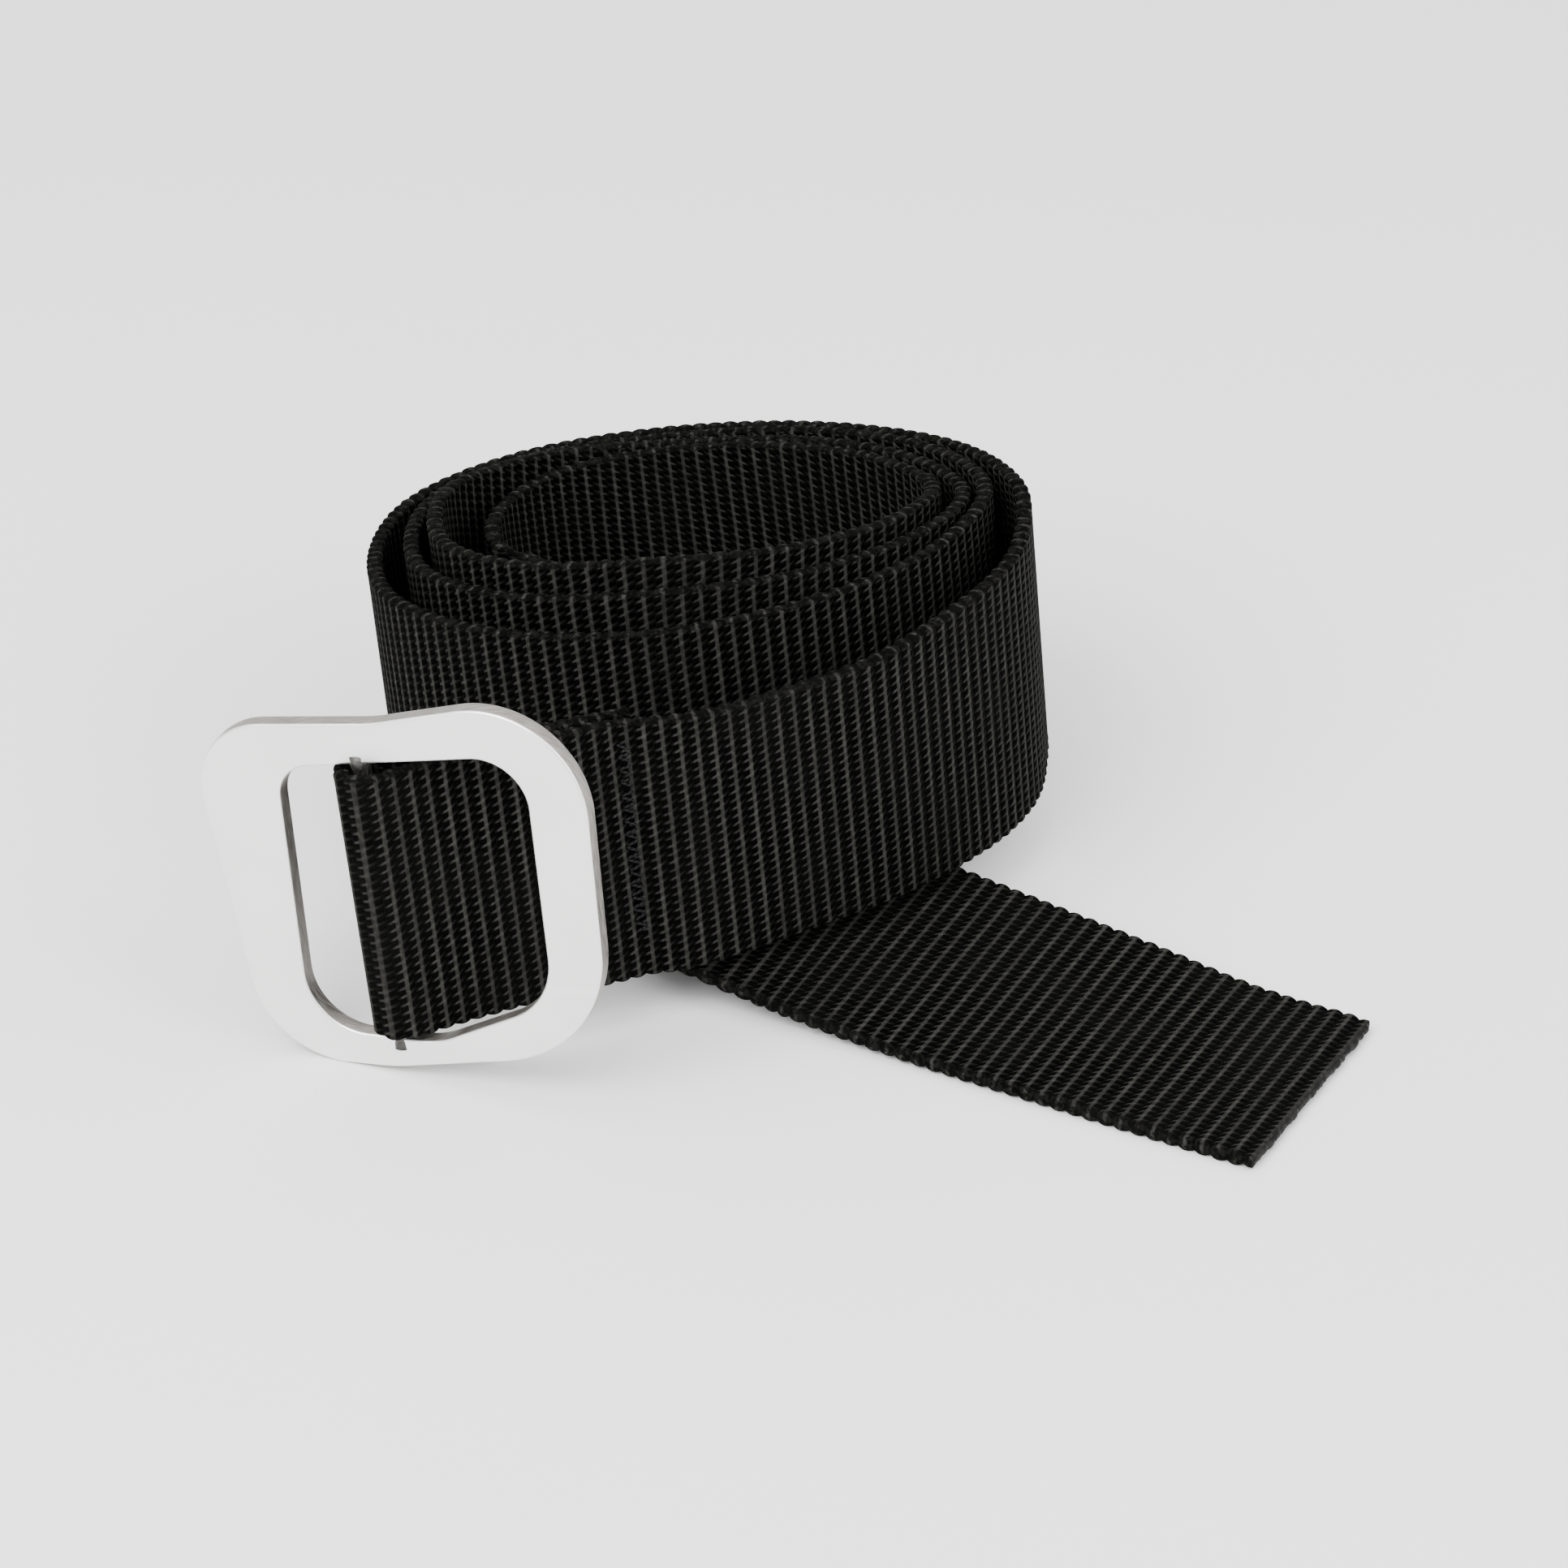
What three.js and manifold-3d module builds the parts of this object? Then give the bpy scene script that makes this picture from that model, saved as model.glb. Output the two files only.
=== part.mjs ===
// A webbing belt rolled up and stood on its edge, with a flat aluminium buckle sewn to one end.
// Millimetres, +Z up. The belt stands on Z = 0, and the origin is below the middle of the whole belt.
// The webbing is one strap from the sewn flap, round the buckle's crossbar, along the lead, round the
// roll from the outside in, and out under the roll to the cut end. It is cut into runs that can move.
import * as THREE from "three";
import { mergeVertices } from "three/addons/utils/BufferGeometryUtils.js";
import Module from "manifold-3d";

// ---- Driving dimensions -------------------------------------------------------------------------

const WEBBING_WIDTH = 38;
const WEBBING_THICKNESS = 2.2;
const GAP = 0.3; // clearance between solids that touch on the real belt

const PLATE_THICKNESS = 2.6;
const PLATE_EDGE_ROUNDING = 0.35;
const CROSSBAR_DIAMETER = 2.5;
const CROSSBAR_LENGTH = 43; // its ends are buried in the rails
const THREAD_DIAMETER = 0.5;

// The roll leans a little: its base plane rises to the right and to the front, over the tail.
const ROLL_CENTRE = new THREE.Vector3(-13.5, 16.5, 5.45);
const ROLL_LEAN_LEFT = 5.4; // degrees
const ROLL_LEAN_BACK = 4.8;

// The roll each quarter turn, from its right side inwards: right, back, left, front, right and so on.
// Each has its reach from the roll's axis and the lift of its edge above the roll's base plane.
const ROLL_QUARTERS = [
  [49.9, 1.3], [38.7, 0.2], [40.5, -0.4], [42.2, 0.9],
  [45.3, 1.6], [35.8, 0.2], [35.0, 2.0], [34.6, 3.5],
  [42.2, 1.0], [32.9, 0.2], [31.4, 4.8], [29.4, 6.0],
  [38.0, 2.0], [30.0, 0.2], [23.4, 0.0],
];
const ROLL_STEP = 30; // degrees between two stations of the roll

// The buckle stands on its lower rail. These place the middle of its crossbar and turn the plate.
const CROSSBAR_CENTRE = new THREE.Vector3(-51.1, -54.0, 24.86);
const PLATE_TURN = -20; // degrees about the vertical: the right side comes forward
const PLATE_LEAN = 6; // degrees to the left

// The lead from the crossbar to the roll: lower edge (x, y, z) and how far the strap leans back.
const LEAD_HEADING = 20.5; // degrees from +X towards +Y, between the crossbar and the seam
const LEAD = [
  [[-11.8, -40.8, 7.2], -1.5],
  [[-4.3, -37.3, 7.9], -4],
  [[5.3, -32.2, 8.8], -5],
  [[14.0, -27.2, 9.5], -4.5],
  [[19.4, -23.1, 9.9], -2.5],
  [[25.0, -17.8, 10.2], 0.5],
  [[30.2, -11.2, 10.4], 2.5],
  [[34.2, -3.1, 10.6], 4],
  [[36.0, 6.5, 10.7], 4.6],
];

// The two layers between the crossbar and the seam: distance from the crossbar, and how far the
// front layer lies before the line of the lead and the flap behind it.
const LOOP_LAYERS = [
  [8, 2.0, -2.4],
  [16, 1.1, -2.1],
  [25, 0.4, -2.2],
  [33, 0.0, -2.55],
];
const FLAP_LENGTH = 36;
const SEAM_DISTANCE = 33.6; // from the crossbar to the middle of the seam

// The inner end of the strap leans over inside the roll and goes out under its front:
// lower and upper edge of the strap at each station.
const HIDDEN_RUN = [
  [[-36.0, 8.0, 2.7], [-33.5, 16.5, 39.6]],
  [[-33.5, -3.0, 2.4], [-25.0, 14.0, 35.2]],
  [[-27.5, -15.0, 2.4], [-14.5, 9.0, 28.6]],
  [[-21.5, -26.5, 3.0], [-5.5, 4.0, 17.0]],
];

// The tail lies out to the right: the cut end, the way it points, and for distances back from the
// end the heights of its near and its far edge over the floor.
const TAIL_END = new THREE.Vector3(67.9, -62.1, 0);
const TAIL_HEADING = -29.4; // degrees from +X
const TAIL = [
  [84, 3.9, 9.0],
  [67, 1.6, 6.8],
  [50, 0.4, 4.7],
  [30, 0.1, 2.2],
  [18, 0, 0.5],
  [10, 0, 0],
  [5, 0, 0],
  [0, 0, 0],
];
const TAIL_FOLD = 50; // the tail lifts from here

const NYLON = { color: 0x23231f, roughness: 0.85, metalness: 0 };
const THREAD = { color: 0x161614, roughness: 0.7, metalness: 0 };
const ALUMINIUM = { color: 0xdcdcd8, roughness: 0.42, metalness: 0.9 };

// ---- Helpers ------------------------------------------------------------------------------------

const wasm = await Module();
wasm.setup();

const rad = THREE.MathUtils.degToRad;

// A unit vector in the floor plane, turned from +X towards +Y.
function heading(degrees) {
  return new THREE.Vector3(Math.cos(rad(degrees)), Math.sin(rad(degrees)), 0);
}

function along(origin, ...steps) {
  const point = origin.clone();
  steps.forEach(([direction, distance]) => point.addScaledVector(direction, distance));
  return point;
}

// The geometry with only positions left and its shared vertices merged.
function bare(geometry) {
  const copy = new THREE.BufferGeometry();
  copy.setAttribute("position", geometry.attributes.position.clone());
  copy.setIndex(geometry.index ? geometry.index.clone() : null);
  return mergeVertices(copy, 1e-4);
}

function toSolid(geometry) {
  const merged = bare(geometry);
  return new wasm.Manifold(
    new wasm.Mesh({
      numProp: 3,
      vertProperties: new Float32Array(merged.attributes.position.array),
      triVerts: new Uint32Array(merged.index.array),
    }),
  );
}

function fromSolid(solid) {
  const { vertProperties, triVerts } = solid.getMesh();
  const geometry = new THREE.BufferGeometry();
  geometry.setAttribute("position", new THREE.BufferAttribute(vertProperties, 3));
  geometry.setIndex(new THREE.BufferAttribute(triVerts, 1));
  geometry.computeVertexNormals();
  return geometry;
}

function namedMesh(name, geometry, look) {
  const mesh = new THREE.Mesh(geometry, new THREE.MeshStandardMaterial(look));
  mesh.name = name;
  return mesh;
}

// ---- The strap's stations: a lower and an upper edge point each ---------------------------------

function station(lower, direction) {
  return { lower, upper: along(lower, [direction, WEBBING_WIDTH]) };
}

// The strap upright, leaning left and back by the angles given.
function upright(leanLeft, leanBack) {
  return new THREE.Vector3(-Math.tan(rad(leanLeft)), Math.tan(rad(leanBack)), 1).normalize();
}

// The crossbar's own direction, and the foot of the strap on it.
const BAR_DIRECTION = new THREE.Vector3(0, 0, 1)
  .applyAxisAngle(new THREE.Vector3(0, 1, 0), rad(-PLATE_LEAN))
  .applyAxisAngle(new THREE.Vector3(0, 0, 1), rad(PLATE_TURN));
const LOOP_OFF_CENTRE = 0.35; // the strap sits this far above the middle of the crossbar
const BAR_FOOT = along(CROSSBAR_CENTRE, [BAR_DIRECTION, LOOP_OFF_CENTRE - WEBBING_WIDTH / 2]);
const OUTWARD = heading(LEAD_HEADING);
const FORWARD = heading(LEAD_HEADING - 90);
const LOOP_RADIUS = CROSSBAR_DIAMETER / 2 + GAP + WEBBING_THICKNESS / 2;
const LEAD_RISE = 0.017; // the lower edge climbs by this much for each mm away from the crossbar
const LOOP_RISE = 0.35; // and by this much more where the strap leaves the plate

// A station between the crossbar and the seam, on the line of the lead or beside it.
function loopStation(distance, offset) {
  const blend = THREE.MathUtils.smoothstep(distance, 6, 25);
  const foot = along(BAR_FOOT, [OUTWARD, distance], [FORWARD, offset]);
  foot.z += LEAD_RISE * distance + LOOP_RISE * THREE.MathUtils.smoothstep(distance, 0, 9);
  const direction = BAR_DIRECTION.clone().lerp(upright(5.2, 0.5), blend).normalize();
  return station(foot, direction);
}

function flapStations() {
  const [, , lastOffset] = LOOP_LAYERS.at(-1);
  const inward = LOOP_LAYERS.toReversed().map(([distance, , offset]) => loopStation(distance, offset));
  return [loopStation(FLAP_LENGTH, lastOffset - 0.1), ...inward];
}

// Half a turn round the crossbar, from its back by its left side to its front.
function loopStations() {
  const stations = [];
  for (let angle = 90; angle <= 270; angle += 22.5) {
    const distance = LOOP_RADIUS * Math.cos(rad(angle));
    const offset = -LOOP_RADIUS * Math.sin(rad(angle));
    const foot = along(BAR_FOOT, [OUTWARD, distance], [FORWARD, offset]);
    stations.push(station(foot, BAR_DIRECTION));
  }
  return stations;
}

function leadStations() {
  const nearBar = LOOP_LAYERS.map(([distance, offset]) => loopStation(distance, offset));
  const free = LEAD.map(([foot, lean]) => station(new THREE.Vector3(...foot), upright(4.8, lean)));
  return [...nearBar, ...free];
}

// A value between the quarter turns. Right and left reaches are the even ones, back and front the odd
// ones, so each is read two quarters apart.
function betweenQuarters(column, quarter, first, step) {
  const whole = ROLL_QUARTERS.length - 1 - first;
  const last = first + whole - (whole % step);
  const position = (quarter - first) / step;
  const low = first + step * Math.floor(position);
  const read = (index) => ROLL_QUARTERS[THREE.MathUtils.clamp(index, first, last)][column];
  return THREE.MathUtils.lerp(read(low), read(low + step), position - Math.floor(position));
}

function rollStations() {
  const axis = upright(ROLL_LEAN_LEFT, ROLL_LEAN_BACK);
  const right = new THREE.Vector3(1, 0, 0).projectOnPlane(axis).normalize();
  const back = new THREE.Vector3().crossVectors(axis, right);
  const stations = [];
  const fullAngle = 90 * (ROLL_QUARTERS.length - 1);
  for (let angle = 0; angle <= fullAngle; angle += ROLL_STEP) {
    const quarter = angle / 90;
    const sideways = betweenQuarters(0, quarter, 0, 2) * Math.cos(rad(angle));
    const depth = betweenQuarters(0, quarter, 1, 2) * Math.sin(rad(angle));
    const lift = betweenQuarters(1, quarter, 0, 1);
    stations.push(station(along(ROLL_CENTRE, [right, sideways], [back, depth], [axis, lift]), axis));
  }
  return stations;
}

function hiddenStations() {
  return HIDDEN_RUN.map(([lower, upper]) => ({
    lower: new THREE.Vector3(...lower),
    upper: new THREE.Vector3(...upper),
  }));
}

function tailStations() {
  const out = heading(TAIL_HEADING);
  const across = heading(TAIL_HEADING + 90);
  return TAIL.map(([distance, nearHeight, farHeight]) => {
    const middle = along(TAIL_END, [out, -distance]);
    const lower = along(middle, [across, -WEBBING_WIDTH / 2]);
    const upper = along(middle, [across, WEBBING_WIDTH / 2]);
    lower.z = nearHeight + WEBBING_THICKNESS / 2;
    upper.z = farHeight + WEBBING_THICKNESS / 2;
    return { lower, upper };
  });
}

// ---- The strap as a run of cross sections -------------------------------------------------------

const SECTIONS_PER_STATION = 4;

// Smooth edge curves through the stations, with the strap square to its own length everywhere.
function sectionsThrough(stations) {
  const lowerEdge = new THREE.CatmullRomCurve3(stations.map((s) => s.lower));
  const upperEdge = new THREE.CatmullRomCurve3(stations.map((s) => s.upper));
  const spans = (stations.length - 1) * SECTIONS_PER_STATION;
  const middleAt = (u) => lowerEdge.getPoint(u).add(upperEdge.getPoint(u)).multiplyScalar(0.5);
  const sections = [];
  for (let i = 0; i <= spans; i++) {
    const u = i / spans;
    const step = 0.02 / spans;
    const forward = middleAt(Math.min(1, u + step)).sub(middleAt(Math.max(0, u - step))).normalize();
    const rising = upperEdge.getPoint(u).sub(lowerEdge.getPoint(u));
    const inward = new THREE.Vector3().crossVectors(rising, forward).normalize();
    const across = new THREE.Vector3().crossVectors(forward, inward);
    sections.push({ middle: middleAt(u), forward, inward, across });
  }
  return sections;
}

// A strip of webbing: a box with one slice for each section, bent along them.
function webbingStrip(sections) {
  const slices = sections.length - 1;
  const box = bare(new THREE.BoxGeometry(1, 1, 1, slices, 1, 1));
  const position = box.attributes.position;
  for (let i = 0; i < position.count; i++) {
    const slice = Math.round((position.getX(i) + 0.5) * slices);
    const { middle, forward, inward, across } = sections[slice];
    const trim = slice === 0 ? GAP / 2 : slice === slices ? -GAP / 2 : 0;
    const point = along(
      middle,
      [forward, trim],
      [inward, position.getY(i) * WEBBING_THICKNESS],
      [across, position.getZ(i) * WEBBING_WIDTH],
    );
    position.setXYZ(i, point.x, point.y, point.z);
  }
  box.computeVertexNormals();
  return box;
}

// ---- The buckle ---------------------------------------------------------------------------------

// A closed outline with straight sides and a round corner at each [x, y, radius].
function roundedOutline(path, corners) {
  corners.forEach(([x, y, radius], i) => {
    const corner = new THREE.Vector2(x, y);
    const previous = new THREE.Vector2(...corners.at(i - 1).slice(0, 2)).sub(corner).normalize();
    const next = new THREE.Vector2(...corners[(i + 1) % corners.length].slice(0, 2)).sub(corner).normalize();
    const half = Math.acos(THREE.MathUtils.clamp(previous.dot(next), -1, 1)) / 2;
    const reach = radius / Math.tan(half);
    const centre = previous.clone().add(next).normalize().multiplyScalar(radius / Math.sin(half)).add(corner);
    const from = corner.clone().addScaledVector(previous, reach).sub(centre);
    const to = corner.clone().addScaledVector(next, reach).sub(centre);
    const clockwise = from.cross(to) < 0;
    path.absarc(centre.x, centre.y, radius, from.angle(), to.angle(), clockwise);
  });
  path.closePath();
  return path;
}

// Corners of the plate and of its opening, from the middle of the crossbar: [x, y, radius].
// The upper left corner reaches out as a thumb tab.
const PLATE_CORNERS = [
  [-23.8, 24.0, 10.5],
  [-19.3, -24.1, 12.5],
  [-1.5, -24.1, 25],
  [29.8, -19.0, 18.5],
  [31.4, 32.3, 13.5],
  [2.5, 26.1, 25],
];
const OPENING_CORNERS = [
  [-11.4, 18.8, 5],
  [-12.6, -19.2, 8],
  [5.4, -19.6, 10],
  [22.5, -12.1, 10],
  [23.0, 23.0, 6.5],
];

function buckleGeometry() {
  const outline = roundedOutline(new THREE.Shape(), PLATE_CORNERS);
  outline.holes.push(roundedOutline(new THREE.Path(), OPENING_CORNERS));
  const plate = new THREE.ExtrudeGeometry(outline, {
    depth: PLATE_THICKNESS - 2 * PLATE_EDGE_ROUNDING,
    bevelThickness: PLATE_EDGE_ROUNDING,
    bevelSize: PLATE_EDGE_ROUNDING,
    bevelOffset: -PLATE_EDGE_ROUNDING,
    bevelSegments: 2,
    curveSegments: 10,
  });
  plate.translate(0, 0, PLATE_EDGE_ROUNDING - PLATE_THICKNESS / 2);
  const radius = CROSSBAR_DIAMETER / 2;
  const crossbar = new THREE.CylinderGeometry(radius, radius, CROSSBAR_LENGTH, 16);
  return fromSolid(toSolid(plate).add(toSolid(crossbar)));
}

// The plate is drawn flat with +Y up and +Z to the front, then stood up and turned.
function buckle() {
  const frame = namedMesh("buckle_frame", buckleGeometry(), ALUMINIUM);
  frame.rotation.x = Math.PI / 2;
  const lean = new THREE.Group();
  lean.rotation.y = rad(-PLATE_LEAN);
  lean.add(frame);
  const turn = new THREE.Group();
  turn.position.copy(CROSSBAR_CENTRE);
  turn.rotation.z = rad(PLATE_TURN);
  turn.add(lean);
  return turn;
}

// ---- The seam -----------------------------------------------------------------------------------

const STITCHES = 30;
const SEAM_WIDTH = 2.4;
const SEAM_SHARE = 0.73; // how much of the strap's width is sewn
const SEAM_RAISE = 1.8; // the seam sits this far above the middle of the strap
const SEAM_SLANT = 1.2; // the seam's lower end lies this much farther from the crossbar
const THREAD_GAP = 0.3;

// One zigzag thread lying on a face of the strap. Its lower end lies `slant` farther forward.
function seamThread(middle, forward, outward, across, slant) {
  const points = [];
  for (let i = 0; i <= STITCHES; i++) {
    const place = i / STITCHES - 0.5;
    const sideways = (i % 2 ? 0.5 : -0.5) * SEAM_WIDTH - place * slant;
    const height = SEAM_RAISE + place * SEAM_SHARE * WEBBING_WIDTH;
    points.push(along(middle, [across, height], [forward, sideways]));
  }
  const geometry = bare(new THREE.BoxGeometry(THREAD_DIAMETER, THREAD_DIAMETER, 1, 1, 1, STITCHES));
  const position = geometry.attributes.position;
  for (let i = 0; i < position.count; i++) {
    const index = Math.round((position.getZ(i) + 0.5) * STITCHES);
    const point = along(points[index], [forward, position.getX(i)], [outward, position.getY(i)]);
    position.setXYZ(i, point.x, point.y, point.z);
  }
  geometry.computeVertexNormals();
  return geometry;
}

// ---- Assembly -----------------------------------------------------------------------------------

function assembly() {
  const group = new THREE.Group();
  const runs = [
    flapStations(),
    loopStations(),
    leadStations(),
    rollStations(),
    hiddenStations(),
    tailStations(),
  ];
  const sections = sectionsThrough(runs.flat());
  const stationIndex = (run, index) => SECTIONS_PER_STATION * (runs.slice(0, run).flat().length + index);
  const turn = 360 / ROLL_STEP;
  const foldStation = TAIL.findIndex(([distance]) => distance === TAIL_FOLD);
  const cuts = [
    ["webbing_lead", 0],
    ["webbing_turn_1", stationIndex(3, 0)],
    ["webbing_turn_2", stationIndex(3, turn)],
    ["webbing_turn_3", stationIndex(3, 2 * turn)],
    ["webbing_inner_run", stationIndex(3, 3 * turn)],
    ["webbing_tail", stationIndex(5, foldStation)],
  ];
  cuts.forEach(([name, start], i) => {
    const end = i + 1 < cuts.length ? cuts[i + 1][1] : sections.length - 1;
    group.add(namedMesh(name, webbingStrip(sections.slice(start, end + 1)), NYLON));
  });
  group.add(buckle());

  const front = nearest(sections.slice(stationIndex(2, 0), stationIndex(3, 0)), SEAM_DISTANCE);
  const behind = nearest(sections.slice(0, stationIndex(1, 0)), SEAM_DISTANCE);
  const offset = -(WEBBING_THICKNESS / 2 + THREAD_DIAMETER / 2 + THREAD_GAP);
  [["needle_thread", front, 1], ["bobbin_thread", behind, -1]].forEach(([name, section, sign]) => {
    const middle = along(section.middle, [section.inward, offset]);
    const { forward, inward, across } = section;
    const thread = seamThread(middle, forward, inward, across, sign * SEAM_SLANT);
    group.add(namedMesh(name, thread, THREAD));
  });
  return group;
}

// The section whose middle is the given distance from the crossbar.
function nearest(sections, distance) {
  const off = (section) => Math.abs(section.middle.distanceTo(CROSSBAR_CENTRE) - distance);
  return sections.reduce((best, section) => (off(section) < off(best) ? section : best));
}

const belt = assembly();
const box = new THREE.Box3().setFromObject(belt, true);
const middle = box.getCenter(new THREE.Vector3());
belt.position.set(-middle.x, -middle.y, -box.min.z);

const root = new THREE.Group();
root.add(belt);
export default root;
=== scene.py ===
import math

import bmesh
import bpy
import numpy as np
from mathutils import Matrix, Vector


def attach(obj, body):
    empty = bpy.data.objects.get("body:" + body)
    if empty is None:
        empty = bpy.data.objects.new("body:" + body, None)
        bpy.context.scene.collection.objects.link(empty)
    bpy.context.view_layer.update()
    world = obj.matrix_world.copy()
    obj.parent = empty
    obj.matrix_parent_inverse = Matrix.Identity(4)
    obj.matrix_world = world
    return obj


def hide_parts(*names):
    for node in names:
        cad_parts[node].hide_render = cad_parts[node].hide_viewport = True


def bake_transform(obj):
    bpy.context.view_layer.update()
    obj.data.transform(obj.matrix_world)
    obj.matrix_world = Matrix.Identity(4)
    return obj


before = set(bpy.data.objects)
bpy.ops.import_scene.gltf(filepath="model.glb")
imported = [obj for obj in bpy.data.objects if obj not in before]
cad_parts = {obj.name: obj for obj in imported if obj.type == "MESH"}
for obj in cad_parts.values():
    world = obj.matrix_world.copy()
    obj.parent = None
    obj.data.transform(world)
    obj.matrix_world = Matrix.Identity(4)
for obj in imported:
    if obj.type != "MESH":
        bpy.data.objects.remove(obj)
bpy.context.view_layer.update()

# ---- Driving dimensions -----------------------------------------------------------------------------

MM = 0.001
UP = np.array([0.0, 0.0, 1.0])

# The belt's design frame is moved by this much so that the origin is below the belt's middle.
SHIFT = np.array([-1.427, 9.619, 0.025])

WEBBING_WIDTH = 38.0
WEBBING_THICKNESS = 2.2
GAP = 0.3
CROSSBAR_DIAMETER = 2.5

RIB_PITCH = 2.25  # from one rib of the weave to the next, along the strap
YARN_PITCH = 1.21  # from one warp yarn to the next, across the strap
RIB_DEPTH = 0.34
SCALLOP = 0.22  # how far the selvage is drawn in between two ribs
ROWS_PER_RIB = 8

ROLL_CENTRE = np.array([-13.5, 16.5, 5.45])
ROLL_LEAN_LEFT = 5.4
ROLL_LEAN_BACK = 4.8
ROLL_STEP = 30
# Reach and lift of the roll at each quarter turn: right, back, left, front, right and so on inwards.
ROLL_QUARTERS = [
    (49.9, 1.3), (38.7, 0.2), (40.5, -0.4), (42.2, 0.9),
    (45.3, 1.6), (35.8, 0.2), (35.0, 2.0), (34.6, 3.5),
    (42.2, 1.0), (32.9, 0.2), (31.4, 4.8), (29.4, 6.0),
    (38.0, 2.0), (30.0, 0.2), (23.4, 0.0),
]

CROSSBAR_CENTRE = np.array([-51.1, -54.0, 24.86])
PLATE_TURN = -20
PLATE_LEAN = 6
PLATE_THICKNESS = 2.6
PLATE_ROUNDING = 0.42

LEAD_HEADING = 20.5
LEAD_RISE = 0.017
LOOP_RISE = 0.35
LOOP_OFF_CENTRE = 0.35
# Lower edge of the lead and how far it leans back.
LEAD = [
    ((-11.8, -40.8, 7.2), -1.5),
    ((-4.3, -37.3, 7.9), -4),
    ((5.3, -32.2, 8.8), -5),
    ((14.0, -27.2, 9.5), -4.5),
    ((19.4, -23.1, 9.9), -2.5),
    ((25.0, -17.8, 10.2), 0.5),
    ((30.2, -11.2, 10.4), 2.5),
    ((34.2, -3.1, 10.6), 4),
    ((36.0, 6.5, 10.7), 4.6),
]
# Distance from the crossbar, offset of the front layer and of the flap.
LOOP_LAYERS = [(8, 2.0, -2.4), (16, 1.1, -2.1), (25, 0.4, -2.2), (33, 0.0, -2.55)]
FLAP_LENGTH = 36
SEAM_DISTANCE = 33.6
SEAM_WIDTH = 2.4
SEAM_SHARE = 0.73
SEAM_RAISE = 1.8  # the seam sits this far above the middle of the strap
SEAM_SLANT = -1.0
SEAM_SQUEEZE = 0.28  # the thread pulls the webbing's faces in by this much
STITCHES = 30
THREAD_DIAMETER = 0.4

# Lower and upper edge of the strap where it leans over inside the roll and goes out under its front.
HIDDEN_RUN = [
    ((-36.0, 8.0, 2.7), (-33.5, 16.5, 39.6)),
    ((-33.5, -3.0, 2.4), (-25.0, 14.0, 35.2)),
    ((-27.5, -15.0, 2.4), (-14.5, 9.0, 28.6)),
    ((-21.5, -26.5, 3.0), (-5.5, 4.0, 17.0)),
]

TAIL_END = np.array([67.9, -62.1, 0.0])
TAIL_HEADING = -29.4
# Distance back from the cut end, and the heights of the near and the far edge over the floor.
TAIL = [
    (84, 3.9, 9.0), (67, 1.6, 6.8), (50, 0.4, 4.7), (30, 0.1, 2.2),
    (18, 0, 0.5), (10, 0, 0), (5, 0, 0), (0, 0, 0),
]

CAMERA_TARGET = SHIFT + np.array([0, 0, 12.0])
CAMERA_DISTANCE = 622.0
CAMERA_ELEVATION = 29.0
CAMERA_LENS = 102.5


# ---- Vectors ----------------------------------------------------------------------------------------


def heading(degrees):
    return np.array([math.cos(math.radians(degrees)), math.sin(math.radians(degrees)), 0.0])


def unit(vectors):
    return vectors / np.linalg.norm(vectors, axis=-1, keepdims=True)


def turned(vector, axis, degrees):
    a = math.radians(degrees)
    cross = np.cross(axis, vector)
    return vector * math.cos(a) + cross * math.sin(a) + axis * np.dot(axis, vector) * (1 - math.cos(a))


def smooth(x, low, high):
    t = np.clip((x - low) / (high - low), 0, 1)
    return t * t * (3 - 2 * t)


def upright(lean_left, lean_back):
    """A unit vector that points up and leans by these degrees."""
    left, back = math.radians(lean_left), math.radians(lean_back)
    return unit(np.array([-math.tan(left), math.tan(back), 1.0]))


# ---- The strap's stations: (lower edge, upper edge) -------------------------------------------------


def station(lower, direction):
    return lower, lower + direction * WEBBING_WIDTH


BAR_DIRECTION = turned(turned(UP, np.array([0.0, 1.0, 0.0]), -PLATE_LEAN), UP, PLATE_TURN)
BAR_FOOT = CROSSBAR_CENTRE + BAR_DIRECTION * (LOOP_OFF_CENTRE - WEBBING_WIDTH / 2)
OUTWARD = heading(LEAD_HEADING)
FORWARD = heading(LEAD_HEADING - 90)
LOOP_RADIUS = CROSSBAR_DIAMETER / 2 + GAP + WEBBING_THICKNESS / 2


def loop_station(distance, offset):
    """A station of one of the two layers between the crossbar and the seam."""
    blend = float(smooth(distance, 6, 25))
    foot = BAR_FOOT + OUTWARD * distance + FORWARD * offset
    foot = foot + UP * (LEAD_RISE * distance + LOOP_RISE * float(smooth(distance, 0, 9)))
    direction = unit(BAR_DIRECTION + (upright(5.2, 0.5) - BAR_DIRECTION) * blend)
    return station(foot, direction)


def flap_stations():
    last = LOOP_LAYERS[-1][2]
    inward = [loop_station(distance, offset) for distance, _, offset in reversed(LOOP_LAYERS)]
    return [loop_station(FLAP_LENGTH, last - 0.1)] + inward


def loop_stations():
    stations = []
    for angle in np.radians(np.arange(90, 271, 22.5)):
        foot = BAR_FOOT + OUTWARD * LOOP_RADIUS * math.cos(angle)
        foot = foot - FORWARD * LOOP_RADIUS * math.sin(angle)
        stations.append(station(foot, BAR_DIRECTION))
    return stations


def lead_stations():
    near_bar = [loop_station(distance, offset) for distance, offset, _ in LOOP_LAYERS]
    return near_bar + [station(np.array(foot), upright(4.8, lean)) for foot, lean in LEAD]


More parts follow.
